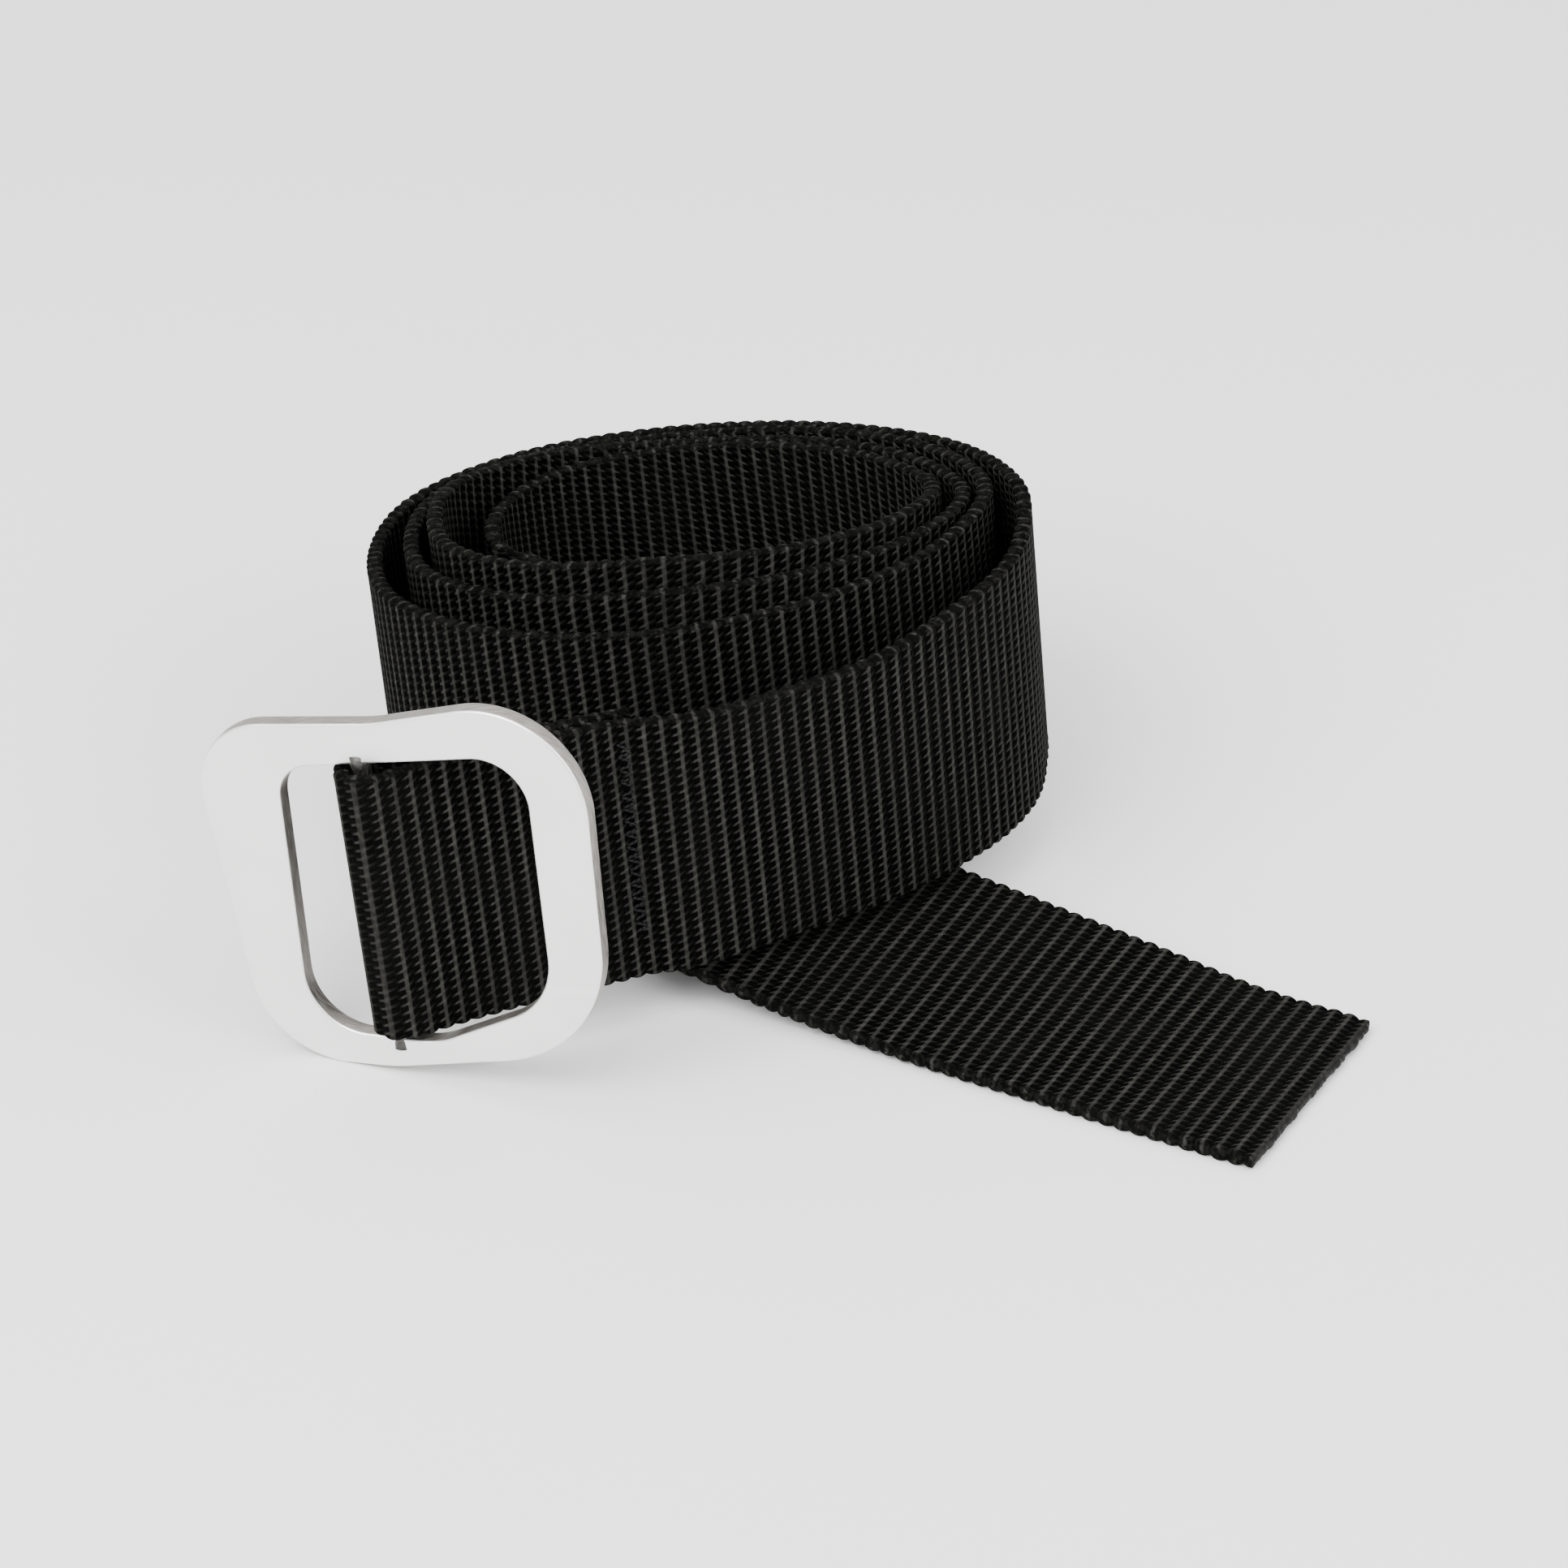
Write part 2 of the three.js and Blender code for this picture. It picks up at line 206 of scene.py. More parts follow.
def between_quarters(column, quarter, first, step):
    """A column of ROLL_QUARTERS between two quarters, from every `step`-th row after `first`."""
    whole = len(ROLL_QUARTERS) - 1 - first
    last = first + whole - whole % step
    place = (quarter - first) / step
    low = first + step * math.floor(place)
    before, after = (ROLL_QUARTERS[min(max(k, first), last)][column] for k in (low, low + step))
    return before + (after - before) * (place - math.floor(place))


def roll_stations():
    """The roll from its right side inwards. Its width follows the even quarters, its depth the odd."""
    axis = upright(ROLL_LEAN_LEFT, ROLL_LEAN_BACK)
    right = unit(np.array([1.0, 0, 0]) - axis * axis[0])
    back = np.cross(axis, right)
    stations = []
    for angle in range(0, 90 * (len(ROLL_QUARTERS) - 1) + 1, ROLL_STEP):
        quarter = angle / 90
        sideways = between_quarters(0, quarter, 0, 2) * math.cos(math.radians(angle))
        depth = between_quarters(0, quarter, 1, 2) * math.sin(math.radians(angle))
        lift = between_quarters(1, quarter, 0, 1)
        stations.append(station(ROLL_CENTRE + right * sideways + back * depth + axis * lift, axis))
    return stations


def hidden_stations():
    return [(np.array(lower), np.array(upper)) for lower, upper in HIDDEN_RUN]


def tail_stations():
    out, across = heading(TAIL_HEADING), heading(TAIL_HEADING + 90)
    stations = []
    for distance, near, far in TAIL:
        middle = TAIL_END - out * distance
        lower = middle - across * WEBBING_WIDTH / 2 + UP * (near + WEBBING_THICKNESS / 2)
        upper = middle + across * WEBBING_WIDTH / 2 + UP * (far + WEBBING_THICKNESS / 2)
        stations.append((lower, upper))
    return stations


# ---- Smooth edges -----------------------------------------------------------------------------------


def smooth_curve(points, per_span):
    """A centripetal Catmull-Rom curve through the points."""
    points = np.array(points, float)
    first = 2 * points[0] - points[1]
    last = 2 * points[-1] - points[-2]
    p = np.vstack([first, points, last])
    t = np.linspace(0, 1, per_span, endpoint=False)[:, None]
    spans = []
    for p0, p1, p2, p3 in zip(p, p[1:], p[2:], p[3:]):
        d0, d1, d2 = (math.sqrt(np.linalg.norm(b - a)) for a, b in ((p0, p1), (p1, p2), (p2, p3)))
        start = ((p1 - p0) / d0 - (p2 - p0) / (d0 + d1) + (p2 - p1) / d1) * d1
        end = ((p2 - p1) / d1 - (p3 - p1) / (d1 + d2) + (p3 - p2) / d2) * d1
        square = -3 * p1 + 3 * p2 - 2 * start - end
        cube = 2 * p1 - 2 * p2 + start + end
        spans.append(p1 + start * t + square * t * t + cube * t**3)
    return np.vstack(spans + [points[-1:]])


PER_SPAN = 48
RUNS = [
    flap_stations(), loop_stations(), lead_stations(),
    roll_stations(), hidden_stations(), tail_stations(),
]
LOOP_RUN, ROLL_RUN = 1, 3
STATIONS = [s for run in RUNS for s in run]


class Strap:
    """The strap's cross sections at even distances along it."""

    def __init__(self):
        lower = smooth_curve([s[0] for s in STATIONS], PER_SPAN) + SHIFT
        upper = smooth_curve([s[1] for s in STATIONS], PER_SPAN) + SHIFT
        middle = (lower + upper) / 2
        steps = np.linalg.norm(np.diff(middle, axis=0), axis=1)
        self.distance = np.concatenate([[0], np.cumsum(steps)])
        self.length = self.distance[-1]
        self.edges = (lower, upper)
        self.skew_end = self.station_distance(ROLL_RUN, 0)

    def station_distance(self, run, index):
        """Distance along the strap of one station of a run."""
        before = sum(len(r) for r in RUNS[:run])
        return self.distance[(before + index) * PER_SPAN]

    def sections(self, s):
        """Middle, forward, inward and across vectors at the distances s along the strap."""
        lower, upper = self.edges

        def read(edge, at):
            at = np.clip(at, 0, self.length)
            return np.stack([np.interp(at, self.distance, column) for column in edge.T], axis=1)

        middle = (read(lower, s) + read(upper, s)) / 2
        ahead = (read(lower, s + 0.8) + read(upper, s + 0.8)) / 2
        behind = (read(lower, s - 0.8) + read(upper, s - 0.8)) / 2
        forward = unit(ahead - behind)
        rising = unit(read(upper, s) - read(lower, s))
        inward = unit(np.cross(rising, forward))
        square = np.cross(forward, inward)
        # The weave is skewed where the strap is pulled round the crossbar, and square in the roll.
        skewed = (1 - smooth(s, self.skew_end, self.skew_end + 30))[:, None]
        across = unit(square + (rising - square) * skewed)
        return middle, forward, inward, across


STRAP = Strap()
CROSSING = STRAP.station_distance(ROLL_RUN, 0)  # where the lead joins the outer turn


def distance_near(centre, reach, low, high):
    """Distance along the strap, between low and high, whose middle is `reach` from a point."""
    s = np.linspace(low, high, 2000)
    middle = STRAP.sections(s)[0]
    off = np.abs(np.linalg.norm(middle - centre, axis=1) - reach)
    return float(s[np.argmin(off)])


BAR_AT = STRAP.station_distance(LOOP_RUN, 4)  # the middle of the fold round the crossbar
SEAM_BEHIND = distance_near(CROSSBAR_CENTRE + SHIFT, SEAM_DISTANCE, 0, BAR_AT)
SEAM_FRONT = distance_near(CROSSBAR_CENTRE + SHIFT, SEAM_DISTANCE, BAR_AT, CROSSING)


# ---- Meshes -----------------------------------------------------------------------------------------


def mesh(name, points, faces, uvs=None):
    """A smooth-shaded object from points in millimetres. uvs holds one (u, v) for each point."""
    data = bpy.data.meshes.new(name)
    data.from_pydata((points * MM).tolist(), [], faces)
    data.polygons.foreach_set("use_smooth", np.ones(len(data.polygons), bool))
    if uvs is not None:
        layer = data.uv_layers.new(name="weave")
        corners = np.empty(len(data.loops), np.int64)
        data.loops.foreach_get("vertex_index", corners)
        layer.data.foreach_set("uv", uvs[corners].astype(np.float32).ravel())
    data.validate()
    obj = bpy.data.objects.new(name, data)
    bpy.context.scene.collection.objects.link(obj)
    return obj


def ring_faces(rows, columns):
    """Quads between rows of a closed tube, with a cap at each end."""
    i = np.arange(rows - 1)[:, None] * columns
    j = np.arange(columns)[None, :]
    k = (j + 1) % columns
    quads = np.stack([i + j, i + k, i + columns + k, i + columns + j], axis=-1).reshape(-1, 4)
    caps = [list(range(columns))[::-1], [(rows - 1) * columns + c for c in range(columns)]]
    return quads[:, ::-1].tolist() + [cap[::-1] for cap in caps]


def profile(columns=56, corner=5):
    """The strap's cross section as (across, side) pairs: across from -1 to 1 and side from -1 to 1."""
    flat = np.linspace(-1, 1, columns)
    points = [(w, 1.0) for w in flat]
    bend = np.radians(np.linspace(0, 180, corner + 2)[1:-1])
    points += [(1.0, math.cos(a)) for a in bend]
    points += [(w, -1.0) for w in flat[::-1]]
    points += [(-1.0, -math.cos(a)) for a in bend]
    return np.array(points)


def webbing(name, start, end):
    """The ribbed strap between two distances, with its selvages."""
    first = math.ceil(start / RIB_PITCH * ROWS_PER_RIB)
    last = math.floor(end / RIB_PITCH * ROWS_PER_RIB)
    s = np.concatenate([[start], np.arange(first + 1, last) * RIB_PITCH / ROWS_PER_RIB, [end]])
    middle, _, inward, across = STRAP.sections(s)
    shape = profile()
    w, side = shape[:, 0], shape[:, 1]
    rib = (s / RIB_PITCH)[:, None]
    parity = 0.5 + 0.5 * np.cos(math.pi * rib)
    crest = np.abs(np.cos(math.pi * rib)) ** 0.8

    # The selvage: the weft turns back at each rib and leaves a row of beads.
    edge = smooth(np.abs(w), 0.93, 1.0)[None, :]
    wobble = 0.12 * np.sin(rib * 2.3) + 0.08 * np.sin(rib * 0.83 + 1.2)
    reach = WEBBING_WIDTH / 2 - SCALLOP * (1 - crest) - 0.1 * np.abs(wobble) - 0.05 * parity
    bulge = edge * (1 - side[None, :] ** 2) ** 0.5
    inset = 0.5 * (1 - bulge) * edge
    offset_across = w[None, :] * (reach - inset)

    # The faces: each rib is a rounded ridge. The strap is thinner under a seam and at its cut end.
    squeeze = np.zeros_like(s)
    for seam in (SEAM_BEHIND, SEAM_FRONT):
        squeeze += SEAM_SQUEEZE * np.exp(-(((s - seam) / 1.7) ** 2))
    squeeze += 0.35 * smooth(s, STRAP.length - 3.0, STRAP.length)
    half = WEBBING_THICKNESS / 2 - squeeze[:, None] - RIB_DEPTH * (1 - crest) * (0.85 + 0.15 * parity)
    offset_in = side[None, :] * (half + 0.05 * edge * crest)

    points = middle[:, None, :] + across[:, None, :] * offset_across[..., None]
    points = points + inward[:, None, :] * offset_in[..., None]
    uvs = np.stack([np.broadcast_to(rib, offset_across.shape), offset_across / YARN_PITCH], axis=-1)
    faces = ring_faces(len(s), len(shape))
    return mesh(name, points.reshape(-1, 3), faces, uvs.reshape(-1, 2))


def tube(name, path, radius, sides=8):
    """A round thread or bar along a path."""
    path = np.array(path, float)
    direction = unit(np.gradient(path, axis=0))
    reference = np.array([0.3, -0.8, 0.52])
    first = unit(np.cross(direction, reference))
    second = np.cross(direction, first)
    angle = np.linspace(0, 2 * math.pi, sides, endpoint=False)
    radius = np.broadcast_to(np.array(radius, float), (len(path),))
    cosine, sine = np.cos(angle)[None, :, None], np.sin(angle)[None, :, None]
    ring = first[:, None, :] * cosine + second[:, None, :] * sine
    points = path[:, None, :] + ring * radius[:, None, None]
    along = np.concatenate([[0], np.cumsum(np.linalg.norm(np.diff(path, axis=0), axis=1))])
    uvs = np.stack(np.broadcast_arrays(along[:, None], (angle / (2 * math.pi))[None, :]), axis=-1)
    return mesh(name, points.reshape(-1, 3), ring_faces(len(path), sides), uvs.reshape(-1, 2))


# ---- The buckle -------------------------------------------------------------------------------------

# Corners of the plate and of its opening, from the middle of the crossbar: x, y, radius.
PLATE_CORNERS = [
    (-23.8, 24.0, 10.5), (-19.3, -24.1, 12.5), (-1.5, -24.1, 25),
    (29.8, -19.0, 18.5), (31.4, 32.3, 13.5), (2.5, 26.1, 25),
]
OPENING_CORNERS = [
    (-11.4, 18.8, 5), (-12.6, -19.2, 8), (5.4, -19.6, 10), (22.5, -12.1, 10), (23.0, 23.0, 6.5),
]


def rounded_outline(corners, steps=28):
    """Points round a closed outline with straight sides and round corners."""
    outline = []
    count = len(corners)
    for i, (x, y, radius) in enumerate(corners):
        corner = np.array([x, y])
        before = unit(np.array(corners[i - 1][:2]) - corner)
        after = unit(np.array(corners[(i + 1) % count][:2]) - corner)
        half = math.acos(float(np.clip(before @ after, -1, 1))) / 2
        centre = corner + unit(before + after) * radius / math.sin(half)
        from_point = corner + before * radius / math.tan(half) - centre
        to_point = corner + after * radius / math.tan(half) - centre
        start = math.atan2(from_point[1], from_point[0])
        sweep = math.atan2(to_point[1], to_point[0]) - start
        sweep = (sweep + math.pi) % (2 * math.pi) - math.pi
        for k in range(steps + 1):
            a = start + sweep * k / steps
            outline.append(centre + radius * np.array([math.cos(a), math.sin(a)]))
    return np.array(outline)


def plate_point(points):
    """From the plate's own axes, x to the right, y up and z to the front, into the belt's."""
    flat = np.stack([points[..., 0], -points[..., 2], points[..., 1]], axis=-1)
    lean, turn = math.radians(-PLATE_LEAN), math.radians(PLATE_TURN)
    about_y = np.array([
        [math.cos(lean), 0, math.sin(lean)],
        [0, 1, 0],
        [-math.sin(lean), 0, math.cos(lean)],
    ])
    about_z = np.array([
        [math.cos(turn), -math.sin(turn), 0],
        [math.sin(turn), math.cos(turn), 0],
        [0, 0, 1],
    ])
    return flat @ (about_z @ about_y).T + CROSSBAR_CENTRE + SHIFT


def buckle_plate():
    """The plate from a flat curve with a hole, with rounded rims, then stood up in its place."""
    curve = bpy.data.curves.new("plate_outline", "CURVE")
    curve.dimensions = "2D"
    curve.fill_mode = "BOTH"
    curve.extrude = PLATE_THICKNESS / 2 - PLATE_ROUNDING
    curve.bevel_depth = PLATE_ROUNDING
    curve.bevel_resolution = 3
    curve.offset = -PLATE_ROUNDING
    for corners in (PLATE_CORNERS, OPENING_CORNERS):
        outline = rounded_outline(corners)
        spline = curve.splines.new("POLY")
        spline.points.add(len(outline) - 1)
        spline.use_cyclic_u = True
        for point, (x, y) in zip(spline.points, outline):
            point.co = (x, y, 0, 1)
    flat = bpy.data.objects.new("plate_outline", curve)
    bpy.context.scene.collection.objects.link(flat)
    bpy.context.view_layer.update()
    data = bpy.data.meshes.new_from_object(flat.evaluated_get(bpy.context.evaluated_depsgraph_get()))
    bpy.data.objects.remove(flat)
    points = np.empty(len(data.vertices) * 3)
    data.vertices.foreach_get("co", points)
    points = points.reshape(-1, 3)
    data.vertices.foreach_set("co", (plate_point(points) * MM).ravel())
    data.update()
    obj = bpy.data.objects.new("buckle_plate", data)
    bpy.context.scene.collection.objects.link(obj)
    merge_by_distance(data)
    front = Vector(plate_point(np.array([0, 0, 1.0])) - plate_point(np.zeros(3)))
    for polygon in data.polygons:
        polygon.use_smooth = True
        polygon.material_index = int(abs(polygon.normal.dot(front)) < 0.3)
    data.set_sharp_from_angle(angle=math.radians(35))
    return obj


def merge_by_distance(data):
    work = bmesh.new()
    work.from_mesh(data)
    bmesh.ops.remove_doubles(work, verts=work.verts, dist=1e-6)
    bmesh.ops.recalc_face_normals(work, faces=work.faces)
    work.to_mesh(data)
    work.free()


def crossbar():
    """The bar that the webbing is folded round, swelling into the rails at both ends."""
    height = np.linspace(-21.2, 21.2, 41)
    path = plate_point(np.stack([0 * height, height, 0 * height], axis=1))
    swell = smooth(np.abs(height), 18.8, 20.6) * 0.3
    return tube("buckle_crossbar", path, CROSSBAR_DIAMETER / 2 + swell, sides=24)


# ---- The seam and the cut end -------------------------------------------------------------------------


def seam_thread(name, at, sign):
    """A lockstitched zigzag: the thread dives into the cloth at every corner."""
    middle, forward, inward, across = (v[0] for v in STRAP.sections(np.array([at])))
    rng = np.random.default_rng(7 if sign > 0 else 11)
    path = []
    steps = 8
    for i in range(STITCHES + 1):
        place = i / STITCHES - 0.5
        jitter = rng.normal(0, 0.09, 2)
        sideways = (0.5 if i % 2 else -0.5) * SEAM_WIDTH * (1 + jitter[0]) - sign * place * SEAM_SLANT
        height = SEAM_RAISE + place * SEAM_SHARE * WEBBING_WIDTH + jitter[1]
        path.append(np.array([height, sideways]))
    route = []
    for a, b in zip(path, path[1:]):
        for k in range(steps):
            t = k / steps
            arch = math.sin(math.pi * t) ** 0.6 if t else 0
            flat = a + (b - a) * t
            surface = WEBBING_THICKNESS / 2 - SEAM_SQUEEZE
            depth = -(surface - 0.5 + arch * 0.55)
            route.append(middle + across * flat[0] + forward * flat[1] + inward * depth)
    route.append(middle + across * path[-1][0] + forward * path[-1][1] - inward * 0.4)
    return tube(name, route, THREAD_DIAMETER / 2, sides=7)


def fused_end():
    """The cut end, sealed with heat: a thin uneven line of melted nylon."""
    middle, forward, inward, across = (v[0] for v in STRAP.sections(np.array([STRAP.length - 0.35])))
    rng = np.random.default_rng(3)
    place = np.linspace(-0.965, 0.965, 150) * WEBBING_WIDTH / 2
    lumps = np.convolve(rng.normal(0, 1, 170), np.ones(9) / 9, "same")[:150]
    beads = np.abs(np.cos(math.pi * place / YARN_PITCH / 1.6))
    radius = 0.5 + 0.16 * lumps + 0.16 * beads
    radius *= smooth(np.abs(place), WEBBING_WIDTH / 2, WEBBING_WIDTH / 2 - 1.4) * 0.6 + 0.4
    path = middle + across * place[:, None] + forward * (0.12 * lumps)[:, None]
    path = path + inward * (0.12 * np.cos(place * 1.9))[:, None]
    return tube("fused_end", path, np.maximum(radius, 0.16), sides=10)


# ---- Materials --------------------------------------------------------------------------------------


class Nodes:
    """Short names for building a node tree."""

    def __init__(self, name):
        self.material = bpy.data.materials.new(name)
        self.material.use_nodes = True
        self.tree = self.material.node_tree
        self.shader = self.tree.nodes["Principled BSDF"]

    def add(self, kind, **values):
        node = self.tree.nodes.new(kind)
        for key, value in values.items():
            setattr(node, key, value)
        return node

    def put(self, value, socket):
        if isinstance(value, bpy.types.NodeSocket):
            self.tree.links.new(value, socket)
        else:
            socket.default_value = value

    def math(self, operation, a, b=0.0, c=0.0):
        node = self.add("ShaderNodeMath", operation=operation)
        for value, socket in zip((a, b, c), node.inputs):
            self.put(value, socket)
        return node.outputs[0]

    def ramp(self, value, low, high, to_low=0.0, to_high=1.0):
        node = self.add("ShaderNodeMapRange", interpolation_type="SMOOTHSTEP")
        for v, socket in zip((value, low, high, to_low, to_high), node.inputs):
            self.put(v, socket)
        return node.outputs[0]

    def mix(self, factor, a, b):
        node = self.add("ShaderNodeMix", data_type="RGBA")
        self.put(factor, node.inputs["Factor"])
        self.put(a, node.inputs["A"])
        self.put(b, node.inputs["B"])
        return node.outputs["Result"]

    def noise(self, vector, scale, detail=2.0):
        node = self.add("ShaderNodeTexNoise")
        self.put(vector, node.inputs["Vector"])
        self.put(scale, node.inputs["Scale"])
        self.put(detail, node.inputs["Detail"])
        return node.outputs["Fac"]

    def bump(self, height, strength, distance, normal=None):
        node = self.add("ShaderNodeBump")
        self.put(height, node.inputs["Height"])
        self.put(strength, node.inputs["Strength"])
        self.put(distance, node.inputs["Distance"])
        if normal is not None:
            self.put(normal, node.inputs["Normal"])
        return node.outputs["Normal"]

    def finish(self, **sockets):
        for name, value in sockets.items():
            self.put(value, self.shader.inputs[name.replace("_", " ")])
        return self.material


def nylon_weave():
    """Black ribbed nylon. U counts the ribs along the strap and V the warp yarns across it."""
    n = Nodes("black_webbing")
    weave = n.add("ShaderNodeUVMap", uv_map="weave").outputs[0]
    split = n.add("ShaderNodeSeparateXYZ")
    n.put(weave, split.inputs[0])
    u, v = split.outputs[0], split.outputs[1]
    place = n.add("ShaderNodeTexCoord").outputs["Object"]
    drift = n.math("MULTIPLY_ADD", n.noise(place, 260.0, 1.0), 0.3, -0.15)

    whole = n.math("FLOOR", n.math("ADD", u, 0.5))
    from_crest = n.math("SUBTRACT", u, whole)
    off = n.math("ABSOLUTE", from_crest)
    parity = n.math("FRACT", n.math("MULTIPLY", whole, 0.5))
    # A yarn shows on every rib and climbs over it, shifted by half a pitch from one rib to the next.
    phase = n.math("ADD", n.math("ADD", v, parity), n.math("MULTIPLY", drift, 0.6))
    phase = n.math("ADD", phase, n.math("MULTIPLY", from_crest, -1.0))
    yarn = n.math("MULTIPLY_ADD", n.math("COSINE", n.math("MULTIPLY", phase, 2 * math.pi)), 0.5, 0.5)

    # At the selvage the yarns turn back, and the pattern ends in beads mottled with painted shade.
    half = WEBBING_WIDTH / 2 / YARN_PITCH
    rim = n.ramp(n.math("ABSOLUTE", v), half - 0.6, half - 0.25)
    inside = n.math("SUBTRACT", 1.0, rim)
    mottle_shade = n.math("MULTIPLY", rim, n.ramp(n.noise(place, 1100.0, 1.0), 0.56, 0.44))

    # Painted shade: between two yarns, on each flank of the rib, the weave opens into a hole painted
    # near-black. The flank away from the light also gets a painted shadow channel.
    # near weights the crest and the flank on the light's side, where the ticks get more painted
    # highlight.
    near = n.ramp(from_crest, 0.14, 0.0)
    flank = n.math("MULTIPLY", n.ramp(off, 0.1, 0.19), n.ramp(off, 0.5, 0.42, 0.5, 1.0))
    hole = n.math("MULTIPLY", flank, n.ramp(yarn, 0.88, 0.55))
    hole = n.math("MULTIPLY", hole, inside)
    shadow_channel = n.ramp(from_crest, 0.5, 0.42, 0.4, 1.0)
    shadow_channel = n.math("MULTIPLY", n.ramp(from_crest, 0.13, 0.27), shadow_channel)
    hole = n.math("MAXIMUM", hole, n.math("MULTIPLY", n.math("MULTIPLY", shadow_channel, inside), 0.5))
    hole = n.math("MAXIMUM", hole, n.math("MULTIPLY", mottle_shade, 0.8))
    # Painted shade darkens the valley between two ribs.
    valley = n.ramp(off, 0.36, 0.47)
    # Painted highlight: the crest line and the yarn ticks are painted pale where the ribs catch the
    # light.
    crest = n.ramp(off, 0.18, 0.06)
    tick = n.math("MULTIPLY", n.ramp(yarn, 0.5, 0.92), n.ramp(off, 0.45, 0.25))
    tick = n.math("MULTIPLY", n.math("MULTIPLY", tick, inside), n.math("MULTIPLY_ADD", near, 0.6, 0.25))

    # dark holds the painted shade, pale the painted highlight, and mid the nylon's own black.
    dark = (0.0003, 0.0003, 0.0003, 1)
    mid = (0.0064, 0.0063, 0.0058, 1)
    pale = (0.040, 0.0394, 0.0363, 1)
    broken = n.ramp(n.noise(place, 1500.0, 2.0), 0.35, 0.65, 0.45, 1.0)
    line = n.math("MULTIPLY", crest, n.math("MULTIPLY_ADD", yarn, 0.4, 0.55))
    light = n.math("MULTIPLY", n.math("MAXIMUM", line, tick), broken)
    light = n.math("MULTIPLY", light, n.math("MULTIPLY_ADD", parity, -0.4, 1.0))
    shade = n.mix(light, mid, pale)
    # Painted shade in the rib valleys.
    shade = n.mix(n.math("MULTIPLY", valley, 0.4), shade, dark)
    # Painted shade: the holes, the shadow channel and the selvage gaps turn near-black.
    shade = n.mix(hole, shade, dark)
    worn = n.noise(place, 90.0, 3.0)
    shade = n.mix(n.ramp(worn, 0.35, 0.75, 0.0, 0.3), shade, mid)

    height = n.math("MULTIPLY", yarn, n.ramp(off, 0.05, 0.3))
    height = n.math("ADD", height, n.math("MULTIPLY", crest, 0.55))
    height = n.math("SUBTRACT", height, n.math("MULTIPLY", hole, 0.9))
    fibre = n.add("ShaderNodeCombineXYZ")
    n.put(n.math("MULTIPLY", u, 2.0), fibre.inputs[0])
    n.put(n.math("MULTIPLY", v, 9.0), fibre.inputs[1])
    strands = n.noise(fibre.outputs[0], 1.6, 3.0)
    height = n.math("ADD", height, n.math("MULTIPLY", strands, 0.28))
    normal = n.bump(height, 1.0, 0.00032)
    rough = n.ramp(strands, 0.3, 0.7, 0.68, 0.9)
    return n.finish(Base_Color=shade, Roughness=rough, Normal=normal, Specular_IOR_Level=0.02)


def bonded_thread():
    """Black twisted sewing thread, a little shinier than the strap."""
    n = Nodes("black_thread")
    weave = n.add("ShaderNodeUVMap", uv_map="weave").outputs[0]
    split = n.add("ShaderNodeSeparateXYZ")
    n.put(weave, split.inputs[0])
    length, turn = split.outputs[0], split.outputs[1]
    twist = n.math("ADD", n.math("MULTIPLY", length, 1.6), n.math("MULTIPLY", turn, 3.0))
    ply = n.math("MULTIPLY_ADD", n.math("SINE", n.math("MULTIPLY", twist, 2 * math.pi)), 0.5, 0.5)
    shade = n.mix(ply, (0.001, 0.001, 0.0012, 1), (0.012, 0.012, 0.013, 1))
    normal = n.bump(ply, 0.8, 0.00008)
    rough = n.ramp(ply, 0.0, 1.0, 0.6, 0.42)
    return n.finish(Base_Color=shade, Roughness=rough, Normal=normal, Specular_IOR_Level=0.1)


def melted_nylon():
    """The fused end: dark, dull and uneven, a little paler in patches."""
    n = Nodes("melted_nylon")
    place = n.add("ShaderNodeTexCoord").outputs["Object"]
    lumps = n.noise(place, 900.0, 2.0)
    shade = n.mix(n.ramp(lumps, 0.4, 0.72), (0.002, 0.002, 0.0019, 1), (0.016, 0.015, 0.0135, 1))
    normal = n.bump(lumps, 0.6, 0.0002)
    rough = n.ramp(lumps, 0.3, 0.7, 0.45, 0.65)
    return n.finish(Base_Color=shade, Roughness=rough, Normal=normal, Specular_IOR_Level=0.12)


def satin_aluminium():
    """Tumbled and anodised aluminium: satin, with fine grain, faint scuffs and brighter worn rims."""
    n = Nodes("satin_aluminium")
    place = n.add("ShaderNodeTexCoord").outputs["Object"]
    grain = n.noise(place, 5200.0, 2.0)
    cloud = n.noise(place, 60.0, 3.0)
    stretch = n.add("ShaderNodeMapping")
    n.put(place, stretch.inputs["Vector"])
    stretch.inputs["Rotation"].default_value = (0.3, 0.5, 0.9)
    stretch.inputs["Scale"].default_value = (2600, 140, 900)
    scuffs = n.ramp(n.noise(stretch.outputs[0], 1.0, 2.0), 0.66, 0.8)
    worn = n.ramp(n.add("ShaderNodeNewGeometry").outputs["Pointiness"], 0.52, 0.6)
    shade = n.mix(n.ramp(cloud, 0.35, 0.7), (0.85, 0.85, 0.84, 1), (0.91, 0.91, 0.90, 1))
    shade = n.mix(n.math("MULTIPLY", worn, 0.5), shade, (0.93, 0.93, 0.925, 1))
    rough = n.math("ADD", n.ramp(cloud, 0.3, 0.7, 0.36, 0.44), n.math("MULTIPLY", scuffs, 0.1))
    rough = n.math("ADD", rough, n.math("MULTIPLY", worn, -0.06))
    normal = n.bump(grain, 0.22, 0.00004)
    normal = n.bump(scuffs, 0.12, 0.00003, normal)
    return n.finish(Base_Color=shade, Metallic=1.0, Roughness=rough, Normal=normal)


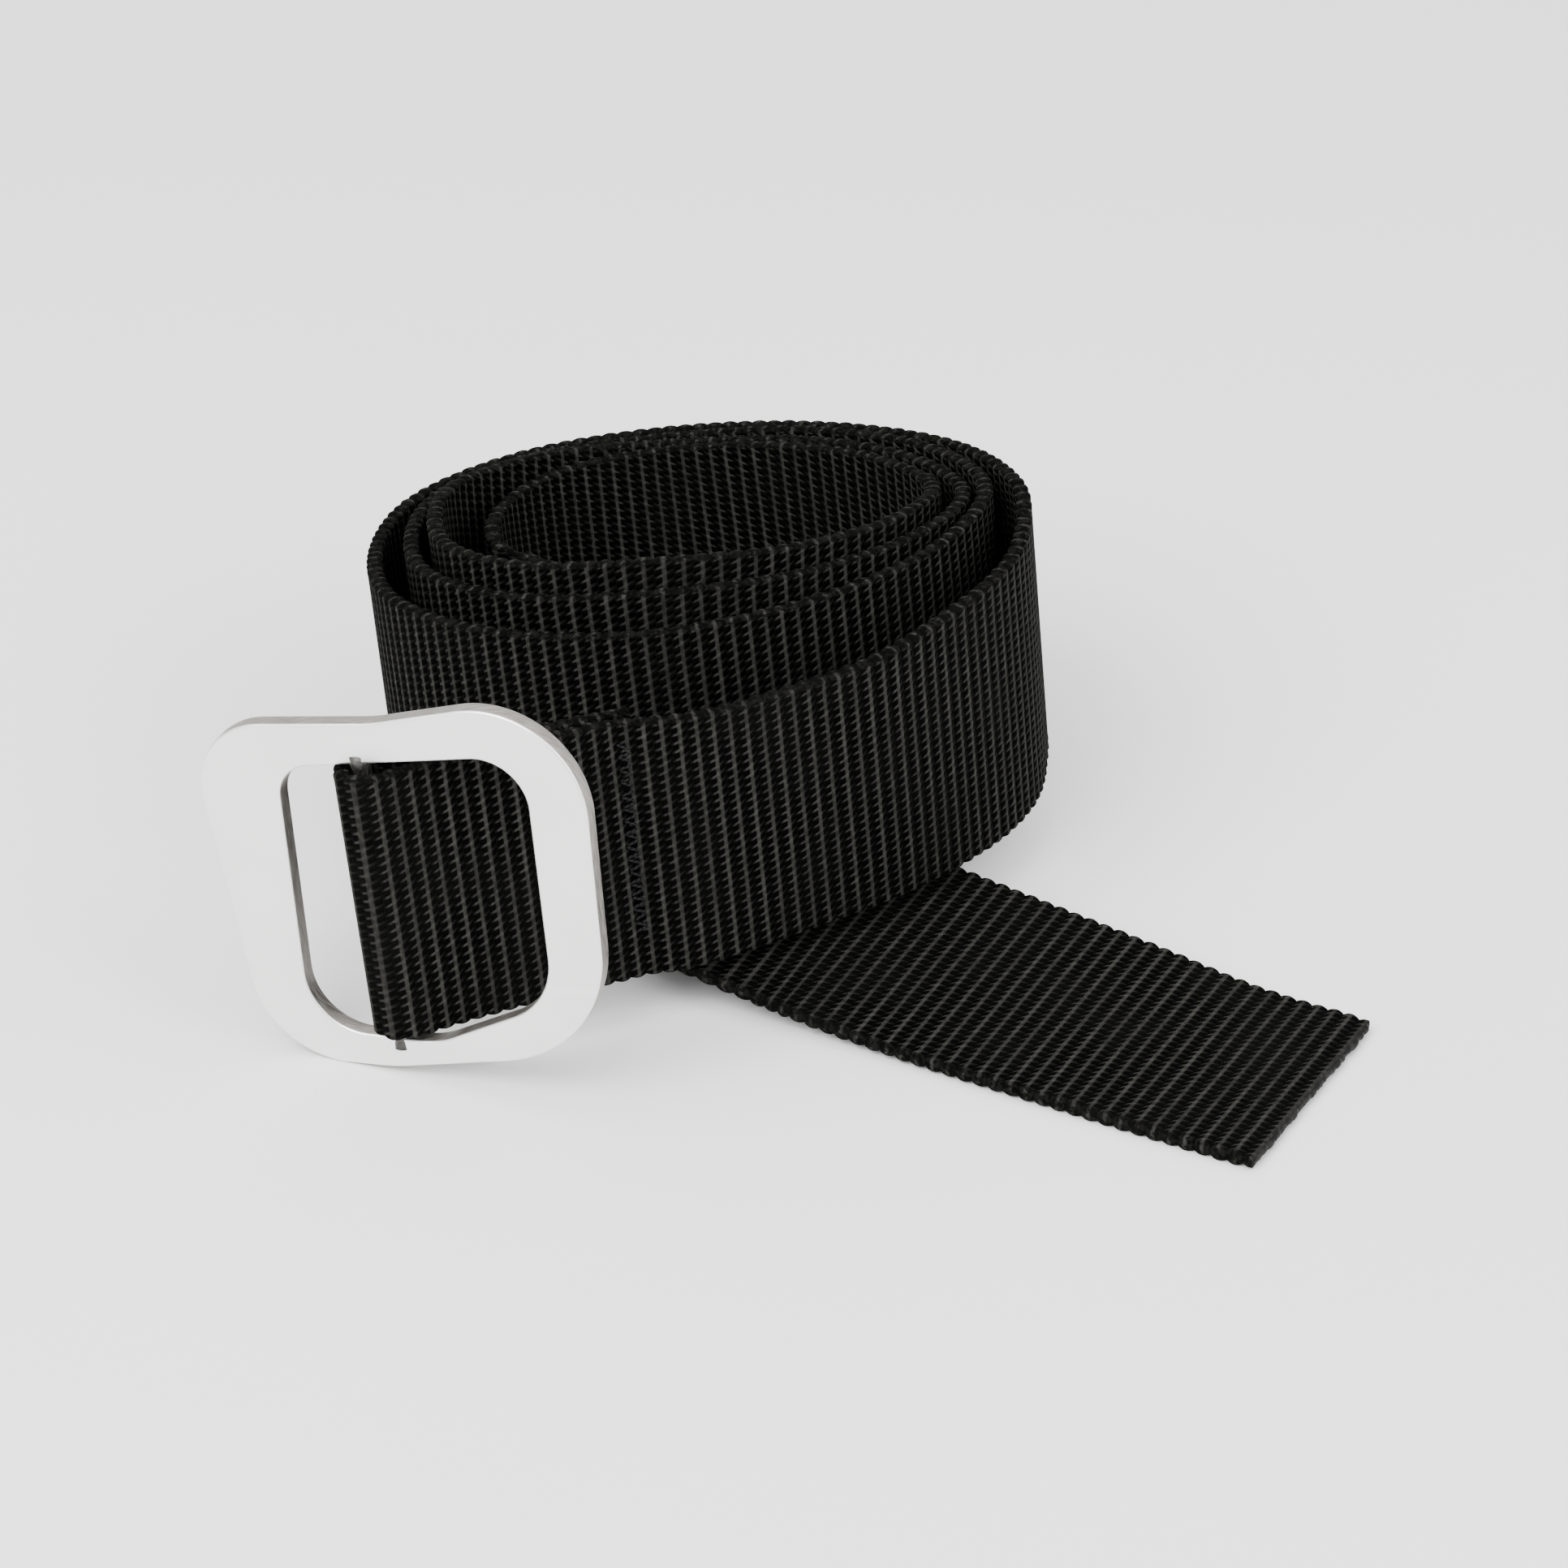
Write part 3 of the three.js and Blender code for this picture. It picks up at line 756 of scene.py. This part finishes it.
def cut_edge_aluminium(name, dark, pale):
    """The plate's sawn and tumbled rim: rougher, lined round the edge, and greyer by a painted
    reflection of the dark strap.
    """
    n = Nodes(name)
    place = n.add("ShaderNodeTexCoord").outputs["Object"]
    lines = n.add("ShaderNodeMapping")
    n.put(place, lines.inputs["Vector"])
    lines.inputs["Rotation"].default_value = (0, 0, math.radians(-PLATE_TURN))
    lines.inputs["Scale"].default_value = (500, 5200, 500)
    grain = n.noise(lines.outputs[0], 1.0, 3.0)
    shade = n.mix(n.ramp(grain, 0.3, 0.7), dark, pale)
    rough = n.ramp(grain, 0.3, 0.7, 0.42, 0.6)
    return n.finish(Base_Color=shade, Metallic=1.0, Roughness=rough, Normal=n.bump(grain, 0.35, 0.00006))


def pale_floor():
    n = Nodes("pale_floor")
    place = n.add("ShaderNodeTexCoord").outputs["Object"]
    soft = n.noise(place, 3.0, 2.0)
    shade = n.mix(soft, (0.94, 0.94, 0.94, 1), (0.955, 0.955, 0.955, 1))
    return n.finish(Base_Color=shade, Roughness=0.7)


# ---- The scene --------------------------------------------------------------------------------------


def add_camera():
    data = bpy.data.cameras.new("camera")
    data.lens = CAMERA_LENS
    data.sensor_width = 36.0
    data.clip_start, data.clip_end = 0.01, 20.0
    camera = bpy.data.objects.new("camera", data)
    bpy.context.scene.collection.objects.link(camera)
    a = math.radians(CAMERA_ELEVATION)
    away = np.array([0.0, -math.cos(a), math.sin(a)])
    camera.location = Vector((CAMERA_TARGET + away * CAMERA_DISTANCE) * MM)
    camera.rotation_euler = (math.pi / 2 - a, 0, 0)
    bpy.context.scene.camera = camera


def area_light(name, place, target, size, watts):
    data = bpy.data.lights.new(name, "AREA")
    data.shape = "RECTANGLE"
    data.size, data.size_y = size
    data.energy = watts
    light = bpy.data.objects.new(name, data)
    light.location = place
    light.rotation_euler = (Vector(target) - Vector(place)).to_track_quat("-Z", "Y").to_euler()
    bpy.context.scene.collection.objects.link(light)


def add_studio():
    data = bpy.data.meshes.new("floor")
    half = 3.0
    corners = [(-half, -half, 0), (half, -half, 0), (half, half, 0), (-half, half, 0)]
    data.from_pydata(corners, [], [(0, 1, 2, 3)])
    floor = bpy.data.objects.new("floor", data)
    bpy.context.scene.collection.objects.link(floor)
    data.materials.append(pale_floor())
    area_light("key", (-0.55, -0.75, 0.95), (0, 0, 0.02), (0.9, 0.9), 27)
    area_light("fill", (0.9, -0.6, 0.7), (0, 0, 0.02), (0.9, 0.9), 12)
    area_light("top", (0.1, 0.35, 1.2), (0, 0, 0.02), (1.4, 1.0), 4)
    world = bpy.data.worlds.new("studio")
    world.use_nodes = True
    world.node_tree.nodes["Background"].inputs["Color"].default_value = (1, 1, 1, 1)
    world.node_tree.nodes["Background"].inputs["Strength"].default_value = 1.3
    bpy.context.scene.world = world


add_camera()
add_studio()

weave = nylon_weave()
thread = bonded_thread()
metal = satin_aluminium()
# Painted reflection: the rim's grey colour stands in for the dark strap it reflects.
cut_edge = cut_edge_aluminium("cut_edge_aluminium", (0.29, 0.27, 0.245, 1), (0.47, 0.45, 0.42, 1))
# Painted shade: a darker copy of the rim metal for the crossbar, which lies in the shade of the
# webbing's fold.
shaded_bar_metal = cut_edge_aluminium("shaded_bar_aluminium", (0.05, 0.048, 0.045, 1), (0.12, 0.115, 0.11, 1))

# The strap is one piece on the real belt. It is cut in two at a valley of the weave, at the hinge.
CUT = (round(CROSSING / RIB_PITCH - 0.5) + 0.5) * RIB_PITCH

lead = webbing("webbing_lead_and_loop", 0.2, CUT)
lead.data.materials.append(weave)
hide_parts("webbing_lead")
hinge = STRAP.sections(np.array([CROSSING]))[0][0]
bent = STRAP.sections(np.array([CROSSING - 34.0]))[0][0]
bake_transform(lead)

roll = webbing("webbing_tail_and_roll", CUT, STRAP.length - 0.15)
roll.data.materials.append(weave)
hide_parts("webbing_turn_1", "webbing_turn_2", "webbing_turn_3", "webbing_inner_run", "webbing_tail")
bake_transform(roll)

for name, at, sign, node in (
    ("seam_front", SEAM_FRONT, 1, "needle_thread"),
    ("seam_behind", SEAM_BEHIND, -1, "bobbin_thread"),
):
    seam = seam_thread(name, at, sign)
    seam.data.materials.append(thread)
    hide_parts(node)
    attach(seam, "lead")

end = fused_end()
end.data.materials.append(melted_nylon())
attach(end, "tail")

plate = buckle_plate()
bar = crossbar()
for material in (metal, cut_edge):
    plate.data.materials.append(material)
bar.data.materials.append(shaded_bar_metal)
for piece in (plate, bar):
    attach(piece, "buckle")
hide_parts("buckle_frame")

print("strap length", STRAP.length, "lead", CUT)
